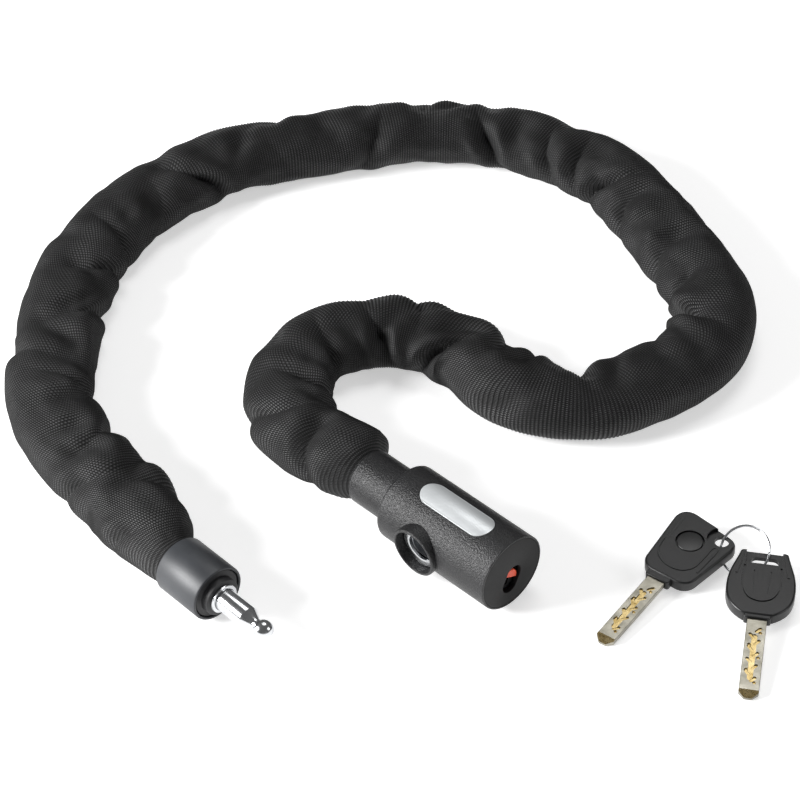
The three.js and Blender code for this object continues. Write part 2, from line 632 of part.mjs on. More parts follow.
function keyTwoHead() {
  const half = HEAD_THICKNESS / 2;
  const { length, width } = KEY_2;
  const shape = new THREE.Shape();
  shape.moveTo(1, -6);
  shape.bezierCurveTo(5, -width / 2 + 1, 10, -width / 2, 16, -width / 2);
  shape.bezierCurveTo(24, -width / 2, 28, -11.5, length - 1.5, -10);
  shape.quadraticCurveTo(length, -9.5, length, -8);
  shape.lineTo(length, 8);
  shape.quadraticCurveTo(length, 9.5, length - 1.5, 10);
  shape.bezierCurveTo(28, 11.5, 24, width / 2, 16, width / 2);
  shape.bezierCurveTo(10, width / 2, 5, width / 2 - 1, 1, 6);
  const body = solid(slab(shape, -half, half, 6));
  const [x, y] = KEY_2.eye;
  const [slotLength, slotWidth] = KEY_2.slot;
  const alongSlot = solid(slab(stadium(slotLength, slotWidth), -half - 1, half + 1, 6));
  const slot = alongSlot.rotate([0, 0, 90]).translate([x, y, 0]);
  const across = [-KEY_2.lugHalf, KEY_2.lugHalf];
  const above = block([x - slotWidth / 2, length + 1], across, [LUG_THICKNESS / 2, half + 1]);
  const below = block([x - slotWidth / 2 - 4, length + 1], across, [-half - 1, -LUG_THICKNESS / 2]);
  return withBolster(cut(body, slot, above, below));
}

// A key lies with its eye on the ring and the tip of its blade on the surface.
function keyOnRing(key, angle, ...pieces) {
  const eye = ringFrame.localToWorld(
    new THREE.Vector3(RING.r * Math.cos(rad(angle)), RING.r * Math.sin(rad(angle)), 0));
  const reach = key.eye[0] + BLADE.length;
  const hung = new THREE.Group();
  hung.position.copy(eye);
  hung.rotation.set(0, -Math.asin((eye.z - BLADE.thickness / 2 - REST_CLEARANCE) / reach), rad(key.turn), "ZYX");
  const laid = new THREE.Group();
  laid.position.set(-key.eye[0], -key.eye[1], 0);
  laid.add(...pieces);
  hung.add(laid);
  return hung;
}

const keys = new THREE.Group();
keys.add(
  ringFrame,
  keyOnRing(KEY_1, EYE_ANGLES[0],
    piece("key_1_head", keyOneHead(), BLACK_PLASTIC),
    piece("key_1_disc", keyOneDisc(), BLACK_PLASTIC),
    piece("key_1_blade", blade(), NICKEL)),
  keyOnRing(KEY_2, EYE_ANGLES[1],
    piece("key_2_head", keyTwoHead(), BLACK_PLASTIC),
    piece("key_2_blade", blade(), NICKEL)),
);

const chainLock = new THREE.Group();
chainLock.add(lockFrame, neckFrame, ferruleFrame, chain, keys);
export default chainLock;
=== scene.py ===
"""A chain lock with its keys: the finished pieces around the fixed frame."""
import math

import bmesh
import bpy
from bpy.props import FloatProperty, FloatVectorProperty, IntProperty, PointerProperty
from bpy.types import Operator, Panel, PropertyGroup
from mathutils import Matrix, Vector, noise
from mathutils.geometry import interpolate_bezier


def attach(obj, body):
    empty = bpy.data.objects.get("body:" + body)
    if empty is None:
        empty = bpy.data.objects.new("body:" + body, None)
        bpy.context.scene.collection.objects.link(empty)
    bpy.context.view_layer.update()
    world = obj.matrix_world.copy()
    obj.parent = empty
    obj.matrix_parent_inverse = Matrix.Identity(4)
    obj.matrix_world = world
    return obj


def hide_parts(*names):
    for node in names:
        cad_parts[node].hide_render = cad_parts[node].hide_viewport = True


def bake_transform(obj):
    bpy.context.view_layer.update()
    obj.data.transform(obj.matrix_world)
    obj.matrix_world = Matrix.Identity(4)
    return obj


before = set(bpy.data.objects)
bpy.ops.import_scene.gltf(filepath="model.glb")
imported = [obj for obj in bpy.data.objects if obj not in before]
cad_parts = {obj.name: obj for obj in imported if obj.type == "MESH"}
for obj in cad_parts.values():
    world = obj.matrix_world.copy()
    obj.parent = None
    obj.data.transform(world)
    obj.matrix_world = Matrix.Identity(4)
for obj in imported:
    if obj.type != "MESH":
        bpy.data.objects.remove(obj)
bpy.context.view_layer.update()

bl_info = {
    "name": "Chain lock with keys",
    "version": (1, 0, 0),
    "blender": (4, 5, 0),
    "location": "View3D > Sidebar > Chain lock",
    "description": "Builds the visible pieces of a chain lock around its fixed frame",
    "category": "Object",
}

MM = 0.001
TURN = 2 * math.pi
MANY_SIDES = 8  # faces with more corners than this are plane ones and are shaded flat
LOOK_AT = (0.004, -0.014, 0)
# Each light's name, place, size in metres and power in watts.
LIGHTS = (
    ("left", (-1.4, -0.35, 0.62), 0.7, 46),
    ("overhead", (0.15, 0.5, 1.5), 0.9, 7),
    ("right", (1.4, -0.5, 0.8), 0.7, 4),
)
FLOOR_GLOW = 0.5
ROOM_LIGHT = 0.15

# Where the groups lie, in millimetres and degrees, as in the part.
LOCK_AT, LOCK_TURN, LOCK_ROLL = (6.1, -98.9, 17.0), -45.4, 5.2
FERRULE_AT, FERRULE_TURN = (-69.6, -148.3, 12.35), -46.8
NECK_LENGTH, FERRULE_LENGTH, LEAD = 21.3, 23.0, 6.0
RISE = (14.0, 60.0)
REST_HEIGHT = 12.0
ROUTE = [
    (-20, -71), (-41, -46), (-45, -20), (-38, 2), (-17, 17.5), (9, 18), (32, 5), (55, -23), (87, -30),
    (117, -15), (140, 9), (146, 43), (136, 75), (123, 107), (108, 137), (83, 160), (53, 175), (20, 179),
    (-14, 175), (-47, 165), (-79, 154), (-105, 134), (-126, 107), (-141, 77), (-148, 43), (-149, 9),
    (-149, -25), (-137, -56), (-117, -84), (-107, -96),
]
# Where the cloth is drawn in: distance along, side (1 is left), depth, width and lean.
FOLDS = [
    (26, 1, 2.6, 3.2, 5), (57, 1, 3.4, 3.4, -7), (70, -1, 4.6, 3.6, 6), (102, -1, 4.4, 4.4, 8),
    (134, 1, 1.4, 5, 4), (142, -1, 4.8, 3.8, -6), (153, 1, 2.4, 3, 5), (176, -1, 5.4, 3.4, 7),
    (192, 1, 2.2, 4, 6), (214, 1, 1.8, 4, -6), (246, 1, 4.6, 8.5, 3), (300, 1, 1.8, 6, 5),
    (335, 1, 6.0, 4.0, -8), (360, 1, 1.8, 4, 6), (384, 1, 3.2, 4.2, 6), (424, 1, 3.8, 3.6, 6),
    (449, 1, 5.4, 3.2, -6), (470, 1, 3.4, 3.0, 5), (488, 1, 2.8, 3.2, 6), (525, 1, 5.0, 3.8, 8),
    (556, -1, 1.6, 4, 5), (589, 1, 3.6, 4.6, -6), (636, 1, 1.6, 7, 6), (682, 1, 6.0, 3.8, 10),
    (716, 1, 1.8, 5, -7), (753, 1, 3.8, 3.8, -7), (775, 1, 3.2, 3.4, 6), (809, 1, 4.2, 3.8, 8),
    (840, -1, 1.8, 4, 6), (868, 1, 3.8, 4.0, -8), (904, 1, 3.0, 4.2, 7), (928, -1, 2.6, 3.6, 6),
    (950, 1, 3.0, 3.6, -6), (968, -1, 2.0, 3, 5),
]
KEYHOLE_LEAN = -30.7
PLUG_Z = -3.6
BOSS_X, BOSS_R, SOCKET_R = 23.4, 11.2, 9.8
LABEL_X = 31.2
PIN_R, BALL_X, BALL_R, PIN_NECK_R = 4.8, 29.0, 4.25, 2.4
EYE_1, EYE_2 = (32.7, -10.8), (30.8, -0.5)
INSET_AT = (24.2, -0.6, 0)


def placed(at, turn=0.0, roll=0.0, pitch=0.0):
    """The matrix of a group given in millimetres and degrees, for shapes drawn in millimetres."""
    turned = Matrix.Rotation(math.radians(turn), 4, "Z")
    pitched = Matrix.Rotation(math.radians(pitch), 4, "Y")
    rolled = Matrix.Rotation(math.radians(roll), 4, "X")
    return Matrix.Translation(Vector(at) * MM) @ turned @ pitched @ rolled @ Matrix.Scale(MM, 4)


LOCK = placed(LOCK_AT, LOCK_TURN, LOCK_ROLL)
NECK = placed(LOCK_AT, LOCK_TURN)
FERRULE = placed(FERRULE_AT, FERRULE_TURN)
PLUG = LOCK @ Matrix.Translation((0, 0, PLUG_Z)) @ Matrix.Rotation(math.radians(KEYHOLE_LEAN), 4, "X")

RING_AT, RING_R, RING_TILT, RING_TURN = (145.3, -118.7, 7.335), 10.4, 40.0, -37.3
RING = placed(RING_AT, RING_TURN, RING_TILT)
BLADE_REACH = 40.5


def key_frame(ring_angle, turn, eye):
    """A key lies with its eye on the ring and the tip of its blade on the surface."""
    angle = math.radians(ring_angle)
    hold = RING @ Vector((RING_R * math.cos(angle), RING_R * math.sin(angle), 0))
    pitch = -math.degrees(math.asin((hold.z / MM - 1.25) / (eye[0] + BLADE_REACH)))
    return placed(hold / MM, turn, 0, pitch) @ Matrix.Translation((-eye[0], -eye[1], 0))


KEY_1 = key_frame(188, 53.4, EYE_1)
KEY_2 = key_frame(-8, 79.3, EYE_2)


# ---- mesh making ----

def turned_shape(profile, segments=128, axis="X"):
    """Spins a profile of (distance along, radius) points; it closes on itself or ends on the axis."""
    bm = bmesh.new()
    verts = [bm.verts.new((x, 0, r)) for x, r in profile]
    edges = [bm.edges.new(pair) for pair in zip(verts, verts[1:])]
    if profile[0][1] > 0 or profile[-1][1] > 0:
        edges.append(bm.edges.new((verts[-1], verts[0])))
    bmesh.ops.spin(bm, geom=verts + edges, cent=(0, 0, 0), axis=(1, 0, 0), angle=TURN, steps=segments,
                   use_merge=True)
    clean(bm)
    if axis == "-Y":
        bmesh.ops.rotate(bm, verts=bm.verts, cent=(0, 0, 0), matrix=Matrix.Rotation(-math.pi / 2, 3, "Z"))
    if axis == "Z":
        bmesh.ops.rotate(bm, verts=bm.verts, cent=(0, 0, 0), matrix=Matrix.Rotation(-math.pi / 2, 3, "Y"))
    return bm


def clean(bm):
    bmesh.ops.remove_doubles(bm, verts=bm.verts, dist=1e-4)
    bmesh.ops.dissolve_degenerate(bm, edges=bm.edges, dist=1e-5)
    bmesh.ops.recalc_face_normals(bm, faces=bm.faces)


def moved(bm, offset=(0, 0, 0), turn=None):
    if turn:
        degrees, axis = turn
        bmesh.ops.rotate(bm, verts=bm.verts, cent=(0, 0, 0),
                         matrix=Matrix.Rotation(math.radians(degrees), 3, axis))
    bmesh.ops.translate(bm, verts=bm.verts, vec=offset)
    return bm


def rounded(bm, edges, width, segments=3):
    bmesh.ops.bevel(bm, geom=list(edges), affect="EDGES", offset=width, segments=segments, profile=0.5,
                    material=-1, clamp_overlap=True)
    return bm


def flat_slab(outline, low, high, edge=0.0, segments=3):
    """A plate over an outline drawn in plan, with its upper and lower rims rounded by edge."""
    bm = bmesh.new()
    face = bm.faces.new([bm.verts.new((x, y, low)) for x, y in outline])
    raised = bmesh.ops.extrude_face_region(bm, geom=[face])
    top = [v for v in raised["geom"] if isinstance(v, bmesh.types.BMVert)]
    bmesh.ops.translate(bm, verts=top, vec=(0, 0, high - low))
    clean(bm)
    if edge:
        rims = [e for e in bm.edges if abs(e.verts[0].co.z - e.verts[1].co.z) < 1e-6]
        rounded(bm, rims, edge, segments)
    return bm


def round_corners(corners, radius, steps=10):
    """A polygon in plan with its corners rounded."""
    points = []
    for before, here, after in zip(corners[-1:] + corners[:-1], corners, corners[1:] + corners[:1]):
        here, before, after = Vector(here), Vector(before), Vector(after)
        to_before, to_after = (before - here).normalized(), (after - here).normalized()
        reach = radius / math.tan(to_before.angle(to_after) / 2)
        start, end = here + to_before * reach, here + to_after * reach
        middle = here.lerp((start + end) / 2, 0.1)
        handles = (start, start.lerp(middle, 0.6), end.lerp(middle, 0.6), end)
        points += [tuple(p) for p in interpolate_bezier(*(h.to_3d() for h in handles), steps)]
    return [(p[0], p[1]) for p in points]


def stadium(length, width, steps=20):
    r, half = width / 2, (length - width) / 2
    right = [(half + r * math.cos(a), r * math.sin(a)) for a in
             (math.pi * (i / steps - 0.5) for i in range(steps + 1))]
    return right + [(-x, -y) for x, y in right]


def ribbon(points, width, low, high, edge=0.0):
    """A thin band of even width along a smooth line through points in plan."""
    line = through([Vector((*p, 0)) for p in points], 8)
    left, right = [], []
    for i, p in enumerate(line):
        ahead = (line[min(i + 1, len(line) - 1)] - line[max(i - 1, 0)]).normalized()
        across = Vector((-ahead.y, ahead.x, 0)) * (width / 2)
        left.append((p.x + across.x, p.y + across.y))
        right.append((p.x - across.x, p.y - across.y))
    return flat_slab(left + right[::-1], low, high, edge, 2)


def combined(base, tool, operation="DIFFERENCE"):
    """Joins or cuts two closed shapes, and gives the result as a new bmesh."""
    made = []
    for bm in (base, tool):
        mesh = bpy.data.meshes.new("working")
        bm.to_mesh(mesh)
        bm.free()
        obj = bpy.data.objects.new("working", mesh)
        bpy.context.scene.collection.objects.link(obj)
        made.append(obj)
    change = made[0].modifiers.new("cut", "BOOLEAN")
    change.operation, change.solver, change.object = operation, "EXACT", made[1]
    bpy.context.view_layer.update()
    result = bmesh.new()
    result.from_object(made[0], bpy.context.evaluated_depsgraph_get())
    for obj in made:
        mesh = obj.data
        bpy.data.objects.remove(obj)
        bpy.data.meshes.remove(mesh)
    if not result.faces:
        raise RuntimeError("a cut left nothing")
    bmesh.ops.remove_doubles(result, verts=result.verts, dist=1e-4)
    return result


def soften(bm, width, angle=35, segments=2):
    """Rounds every edge sharper than the angle."""
    sharp = [e for e in bm.edges if len(e.link_faces) == 2 and e.calc_face_angle(0) > math.radians(angle)]
    return rounded(bm, sharp, width, segments)


def finish_piece(name, bm, place, body, materials, nodes=(), smooth=32):
    """Puts a shape drawn in millimetres where it belongs and ties it to its body."""
    bm.transform(place)
    mesh = bpy.data.meshes.new(name)
    bm.to_mesh(mesh)
    bm.free()
    mesh.shade_smooth()
    mesh.set_sharp_from_angle(angle=math.radians(smooth))
    for polygon in mesh.polygons:
        if len(polygon.vertices) > MANY_SIDES:
            polygon.use_smooth = False
    obj = bpy.data.objects.new(name, mesh)
    bpy.context.scene.collection.objects.link(obj)
    for material in materials:
        mesh.materials.append(material)
    if body:
        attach(obj, body)
    if nodes:
        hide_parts(*nodes)
    return obj


# ---- materials ----

def new_material(name):
    material = bpy.data.materials.new(name)
    material.use_nodes = True
    tree = material.node_tree
    return material, tree, tree.nodes["Principled BSDF"]


def add(tree, kind, **settings):
    node = tree.nodes.new(kind)
    for key, value in settings.items():
        if key in node.inputs:
            node.inputs[key].default_value = value
        else:
            setattr(node, key, value)
    return node


def math_node(tree, operation, a, b=None):
    node = tree.nodes.new("ShaderNodeMath")
    node.operation = operation
    for socket, value in zip(node.inputs, (a, b)):
        if value is None:
            continue
        if isinstance(value, (int, float)):
            socket.default_value = value
        else:
            tree.links.new(value, socket)
    return node.outputs[0]


def ramp(tree, value, low, high, first=(0, 0, 0, 1), last=(1, 1, 1, 1)):
    node = tree.nodes.new("ShaderNodeValToRGB")
    node.color_ramp.elements[0].position, node.color_ramp.elements[1].position = low, high
    node.color_ramp.elements[0].color, node.color_ramp.elements[1].color = first, last
    tree.links.new(value, node.inputs[0])
    return node.outputs[0]


def noise_of(tree, scale, detail=3.0, roughness=0.5, stretch=None):
    """Noise on the piece's own coordinates; scale is in cells to a metre."""
    where = tree.nodes.new("ShaderNodeTexCoord").outputs["Object"]
    if stretch:
        mapping = tree.nodes.new("ShaderNodeMapping")
        mapping.inputs["Scale"].default_value = stretch
        mapping.inputs["Rotation"].default_value = (0, 0, math.radians(-LOCK_TURN))
        tree.links.new(where, mapping.inputs[0])
        where = mapping.outputs[0]
    node = add(tree, "ShaderNodeTexNoise", Scale=scale, Detail=detail, Roughness=roughness)
    tree.links.new(where, node.inputs["Vector"])
    return node.outputs["Fac"]


def bumped(tree, shader, height, depth):
    node = add(tree, "ShaderNodeBump", Strength=1.0, Distance=depth)
    tree.links.new(height, node.inputs["Height"])
    tree.links.new(node.outputs[0], shader.inputs["Normal"])


def surface(name, dark, light, rough, grain, depth, metal=0.0, blotch=90.0, specular=0.5):
    """A moulded, painted or machined surface: two near tones, uneven roughness and a fine grain."""
    material, tree, shader = new_material(name)
    shader.inputs["Metallic"].default_value = metal
    shader.inputs["Specular IOR Level"].default_value = specular
    tone = ramp(tree, noise_of(tree, blotch, 4), 0.3, 0.7, (*dark, 1), (*light, 1))
    tree.links.new(tone, shader.inputs["Base Color"])
    fine = noise_of(tree, grain, 2, 0.6)
    spread = tree.nodes.new("ShaderNodeMapRange")
    spread.inputs["To Min"].default_value, spread.inputs["To Max"].default_value = rough
    tree.links.new(fine, spread.inputs["Value"])
    tree.links.new(spread.outputs[0], shader.inputs["Roughness"])
    bumped(tree, shader, fine, depth)
    return material


def wave(tree, place):
    """One hump for every whole step of a place."""
    turned = math_node(tree, "SINE", math_node(tree, "MULTIPLY", place, math.pi))
    return math_node(tree, "ABSOLUTE", turned)


def woven_nylon(look):
    """Coarse black nylon: rows of short yarns, each row set half a yarn over from the last."""
    material, tree, shader = new_material("woven nylon")
    uv = tree.nodes.new("ShaderNodeUVMap")
    uv.uv_map = "weave"
    split = tree.nodes.new("ShaderNodeSeparateXYZ")
    tree.links.new(uv.outputs[0], split.inputs[0])
    around, along = split.outputs[0], split.outputs[1]
    row = math_node(tree, "FLOOR", along)
    shifted = math_node(tree, "ADD", around, math_node(tree, "MULTIPLY", row, 0.5))
    lean = math_node(tree, "MULTIPLY", math_node(tree, "FRACT", along), 0.3)
    yarn = math_node(tree, "POWER", wave(tree, math_node(tree, "ADD", shifted, lean)), 0.55)
    rib = math_node(tree, "POWER", wave(tree, along), 0.8)
    height = math_node(tree, "MULTIPLY", yarn, rib)
    patchy = ramp(tree, noise_of(tree, 55, 3), 0.25, 0.75)
    # Painted highlight: the yarn crowns are coloured lighter than the black nylon, standing in for light
    # caught on them, and the patchy noise varies its strength at random.
    crown_highlight = math_node(tree, "MULTIPLY", math_node(tree, "POWER", height, 3.0),
                       math_node(tree, "ADD", math_node(tree, "MULTIPLY", patchy, 0.6), 0.4))
    tone = ramp(tree, crown_highlight, 0.1, 0.95, (*look.weave_dark, 1), (*look.weave_crown_highlight, 1))
    tree.links.new(tone, shader.inputs["Base Color"])
    rough = ramp(tree, height, 0.0, 1.0, (0.85, 0.85, 0.85, 1), (0.4, 0.4, 0.4, 1))
    tree.links.new(rough, shader.inputs["Roughness"])
    shader.inputs["Specular IOR Level"].default_value = 0.35
    shader.inputs["Sheen Weight"].default_value = 0.02
    shader.inputs["Sheen Roughness"].default_value = 0.4
    bumped(tree, shader, height, 0.0005)
    return material


def label_silver():
    """Brushed silver film, a little darker toward one end."""
    material, tree, shader = new_material("label silver")
    shader.inputs["Metallic"].default_value = 0.35
    brushed = noise_of(tree, 900, 2, 0.6, (0.06, 1, 1))
    tone = ramp(tree, noise_of(tree, 22, 2), 0.3, 0.7, (0.4, 0.42, 0.43, 1), (0.58, 0.6, 0.61, 1))
    tree.links.new(tone, shader.inputs["Base Color"])
    rough = ramp(tree, brushed, 0.2, 0.8, (0.3, 0.3, 0.3, 1), (0.45, 0.45, 0.45, 1))
    tree.links.new(rough, shader.inputs["Roughness"])
    bumped(tree, shader, brushed, 0.00001)
    return material


# Each finish: name, darker and lighter tone, roughness range, then what differs from surface()'s own values.
SURFACES = {
    "paint": ("black satin paint", (0.004, 0.004, 0.0045), (0.008, 0.008, 0.009), (0.3, 0.5),
              {"grain": 1700, "depth": 0.00035, "blotch": 60}),
    "plastic": ("black moulded plastic", (0.0025, 0.0025, 0.0025), (0.005, 0.005, 0.0055), (0.28, 0.44),
                {"grain": 3200, "depth": 0.00002}),
    "cap": ("black end cap", (0.004, 0.004, 0.0045), (0.007, 0.007, 0.007), (0.5, 0.66),
            {"grain": 3000, "depth": 0.00003, "specular": 0.3}),
    "ferrule": ("grey-black ferrule", (0.022, 0.024, 0.028), (0.04, 0.043, 0.048), (0.38, 0.54),
                {"grain": 2400, "depth": 0.00003, "blotch": 70}),
    "collar": ("grey-black rubber", (0.008, 0.008, 0.009), (0.016, 0.016, 0.018), (0.45, 0.65),
               {"grain": 1800, "depth": 0.00004}),
    "chrome": ("polished chrome", (0.52, 0.53, 0.54), (0.7, 0.71, 0.73), (0.12, 0.24),
               {"metal": 1.0, "grain": 700, "depth": 0.000008, "blotch": 120}),
    "steel": ("zinc-plated steel", (0.3, 0.31, 0.33), (0.5, 0.51, 0.53), (0.25, 0.45),
              {"metal": 1.0, "grain": 1500, "depth": 0.00001}),
    "brass": ("machined brass", (0.5, 0.36, 0.13), (0.68, 0.51, 0.22), (0.22, 0.42),
              {"metal": 1.0, "grain": 1600, "depth": 0.00001}),
    "nickel": ("milled nickel silver", (0.2, 0.19, 0.155), (0.42, 0.4, 0.34), (0.24, 0.4),
               {"metal": 1.0, "grain": 1400, "depth": 0.00001, "blotch": 160}),
    "gilt": ("brass in the milling", (0.3, 0.21, 0.07), (0.62, 0.49, 0.25), (0.2, 0.36),
             {"metal": 1.0, "grain": 1500, "depth": 0.00001, "blotch": 300}),
    "red": ("red shutter plastic", (0.6, 0.05, 0.025), (0.8, 0.1, 0.04), (0.3, 0.45),
            {"grain": 1800, "depth": 0.00001}),
}
FINISHES = {}


def make_finishes(look):
    FINISHES.update({key: surface(*row[:-1], **row[-1]) for key, row in SURFACES.items()})
    FINISHES.update({"label": label_silver(), "weave": woven_nylon(look)})


# ---- the line that the sleeve follows ----

def smoothstep(x, low, high):
    t = min(1.0, max(0.0, (x - low) / (high - low)))
    return t * t * (3 - 2 * t)


def through(points, per_span=60):
    """A smooth line through points in plan, as close points."""
    ends = [points[0] * 2 - points[1], *points, points[-1] * 2 - points[-2]]
    line = []
    for p0, p1, p2, p3 in zip(ends, ends[1:], ends[2:], ends[3:]):
        t1 = (p1 - p0).length ** 0.5
        t2 = t1 + (p2 - p1).length ** 0.5
        t3 = t2 + (p3 - p2).length ** 0.5
        for i in range(per_span):
            t = t1 + (t2 - t1) * i / per_span
            a1 = p0 * ((t1 - t) / t1) + p1 * (t / t1)
            a2 = p1 * ((t2 - t) / (t2 - t1)) + p2 * ((t - t1) / (t2 - t1))
            a3 = p2 * ((t3 - t) / (t3 - t2)) + p3 * ((t - t2) / (t3 - t2))
            b1 = a1 * ((t2 - t) / t2) + a2 * (t / t2)
            b2 = a2 * ((t3 - t) / (t3 - t1)) + a3 * ((t - t1) / (t3 - t1))
            line.append(b1 * ((t2 - t) / (t2 - t1)) + b2 * ((t - t1) / (t2 - t1)))
    return [*line, points[-1]]


def along_axis(matrix, x):
    return (matrix @ Vector((x, 0, 0))) / MM


def evenly(line, step):
    """Points a given step apart along a line, and the line's length."""
    reach = [0.0]
    for a, b in zip(line, line[1:]):
        reach.append(reach[-1] + (b - a).length)
    count = round(reach[-1] / step)
    points, at = [], 0
    for i in range(count + 1):
        want = reach[-1] * i / count
        while at < len(line) - 2 and reach[at + 1] < want:
            at += 1
        share = (want - reach[at]) / max(reach[at + 1] - reach[at], 1e-9)
        points.append(line[at].lerp(line[at + 1], share))
    return points, reach[-1]


def sleeve_line(step, tuck):
    """The sleeve's middle line in millimetres, from just inside the neck to just inside the ferrule."""
    stops = [
        along_axis(NECK, -NECK_LENGTH + tuck), along_axis(NECK, -NECK_LENGTH - LEAD),
        *[Vector((x, y, 0)) for x, y in ROUTE],
        along_axis(FERRULE, -FERRULE_LENGTH - LEAD), along_axis(FERRULE, -FERRULE_LENGTH + tuck),
    ]
    plan = through([Vector((p.x, p.y, 0)) for p in stops])
    points, length = evenly(plan, step)
    for i, p in enumerate(points):
        s = length * i / (len(points) - 1)
        at_lock = 1 - smoothstep(s - tuck, *RISE)
        at_ferrule = 1 - smoothstep(length - s - tuck, *RISE)
        p.z = REST_HEIGHT + (LOCK_AT[2] - REST_HEIGHT) * at_lock + (FERRULE_AT[2] - REST_HEIGHT) * at_ferrule
    return points, length


# ---- sizes a user would change ----

class StageSizes(PropertyGroup):
    camera_height: FloatProperty(name="Camera height", description="Angle of the camera above the floor",
                                 default=math.radians(40), subtype="ANGLE")
    camera_distance: FloatProperty(name="Camera distance", description="From the camera to the lock",
                                   default=1.15, unit="LENGTH")
    lens: FloatProperty(name="Lens", description="Focal length of the camera in millimetres", default=117.0)
    floor_colour: FloatVectorProperty(name="Floor", description="Colour of the floor", subtype="COLOR",
                                      size=3, default=(0.93, 0.93, 0.93))


class SleeveSizes(PropertyGroup):
    width: FloatProperty(name="Width", description="Width of the sleeve as it lies", default=0.0372,
                         unit="LENGTH")
    height: FloatProperty(name="Height", description="Height of the sleeve as it lies", default=0.0236,
                          unit="LENGTH")
    rib: FloatProperty(name="Rib pitch", description="From one row of yarns to the next", default=0.00135,
                       unit="LENGTH")
    yarns: IntProperty(name="Yarns around", description="Yarns in a row", default=98)
    # The light colour is a painted highlight on the yarn crowns; the dark one is the nylon's own black.
    weave_dark: FloatVectorProperty(name="Dark yarn", description="Colour in the weave's hollows",
                                    subtype="COLOR", size=3, default=(0.0012, 0.0012, 0.0013))
    weave_crown_highlight: FloatVectorProperty(name="Crown highlight", description="Painted highlight on the weave's crowns",
                                     subtype="COLOR", size=3, default=(0.085, 0.085, 0.087))


class LockSizes(PropertyGroup):
    body_radius: FloatProperty(name="Body radius", description="Half the lock body's width", default=0.017,
                               unit="LENGTH")
    body_length: FloatProperty(name="Body length", description="Length of the lock body", default=0.0607,
                               unit="LENGTH")


class KeySizes(PropertyGroup):
    head_thickness: FloatProperty(name="Head thickness", description="Thickness of a key's head",
                                  default=0.0054, unit="LENGTH")
    blade_thickness: FloatProperty(name="Blade thickness", description="Thickness of a key's blade",
                                   default=0.0024, unit="LENGTH")


# ---- stage ----

class CHAINLOCK_OT_stage(Operator):
    """Set up the camera, the lights and the floor"""
    bl_idname = "chainlock.stage"
    bl_label = "Stage"

    def execute(self, context):
        sizes = context.scene.chainlock_stage
        camera = bpy.data.objects.new("Camera", bpy.data.cameras.new("Camera"))
        context.scene.collection.objects.link(camera)
        look_at = Vector(LOOK_AT)
        back = Vector((0, -math.cos(sizes.camera_height), math.sin(sizes.camera_height)))
        camera.location = look_at + back * sizes.camera_distance
        camera.rotation_euler = (-back).to_track_quat("-Z", "Y").to_euler()
        camera.data.lens, camera.data.sensor_width = sizes.lens, 36.0
        camera.data.clip_start, camera.data.clip_end = 0.01, 20
        context.scene.camera = camera

        bm = bmesh.new()
        bmesh.ops.create_grid(bm, x_segments=1, y_segments=1, size=4)
        floor_finish, tree, shader = new_material("floor")
        tone = ramp(tree, noise_of(tree, 3, 2), 0.2, 0.8, (*sizes.floor_colour, 1),
                    tuple(c * 0.99 for c in sizes.floor_colour) + (1,))
        tree.links.new(tone, shader.inputs["Base Color"])
        shader.inputs["Roughness"].default_value = 0.8
        shader.inputs["Specular IOR Level"].default_value = 0.1
        shader.inputs["Emission Color"].default_value = (1, 1, 1, 1)
        shader.inputs["Emission Strength"].default_value = FLOOR_GLOW
        floor = finish_piece("floor", moved(bm, (0, 0, -0.0002)), Matrix.Identity(4), None, [floor_finish])

        for name, at, size, power in LIGHTS:
            light = bpy.data.lights.new(name, "AREA")
            light.shape, light.size, light.energy = "DISK", size, power
            lamp = bpy.data.objects.new(name, light)
            context.scene.collection.objects.link(lamp)
            lamp.location = at
            lamp.rotation_euler = (-Vector(at)).to_track_quat("-Z", "Y").to_euler()
        context.scene.view_settings.view_transform = "Standard"
        world = bpy.data.worlds.new("soft room")
        context.scene.world = world
        world.use_nodes = True
        world.node_tree.nodes["Background"].inputs[0].default_value = (1, 1, 1, 1)
        world.node_tree.nodes["Background"].inputs[1].default_value = ROOM_LIGHT
        return {"FINISHED"}


# ---- sleeve ----

def fold_line(s, angle, fold):
    """How deep a fold draws the cloth in at a place, and how far it lifts the cloth beside it."""
    at, side, depth, width, lean = fold
    centre = 0.45 if side > 0 else math.pi - 0.45
    around = (angle - centre + math.pi) % TURN - math.pi
    upward = around * side
    away = (s - at - lean * upward) / width
    if abs(away) > 7:
        return 0.0
    fade = math.exp(-((around / (1.05 if upward > 0 else 0.8)) ** 2))
    valley = math.exp(-(abs(away) ** 1.2))
    crest = math.exp(-(((abs(away) - 2.4) / 1.5) ** 2))
    return depth * fade * (0.4 * crest - 1.15 * valley)


def dents(length):
    """Shallow hollows over the top of the sleeve: distance along, angle, depth, length and lean."""
    found, at, i = [], 34.0, 0
    while at < length - 30:
        pick = [noise.noise(Vector((i * 5.17, k * 3.1, 8.7))) for k in range(4)]
        centre, depth = math.pi / 2 + 1.9 * pick[0], 2.2 + 2.4 * abs(pick[1])
        found.append((at, centre, depth, 5 + 4 * abs(pick[2]), 26 * pick[3]))
        at += 15 + 16 * abs(pick[2] + pick[0])
        i += 1
    return found


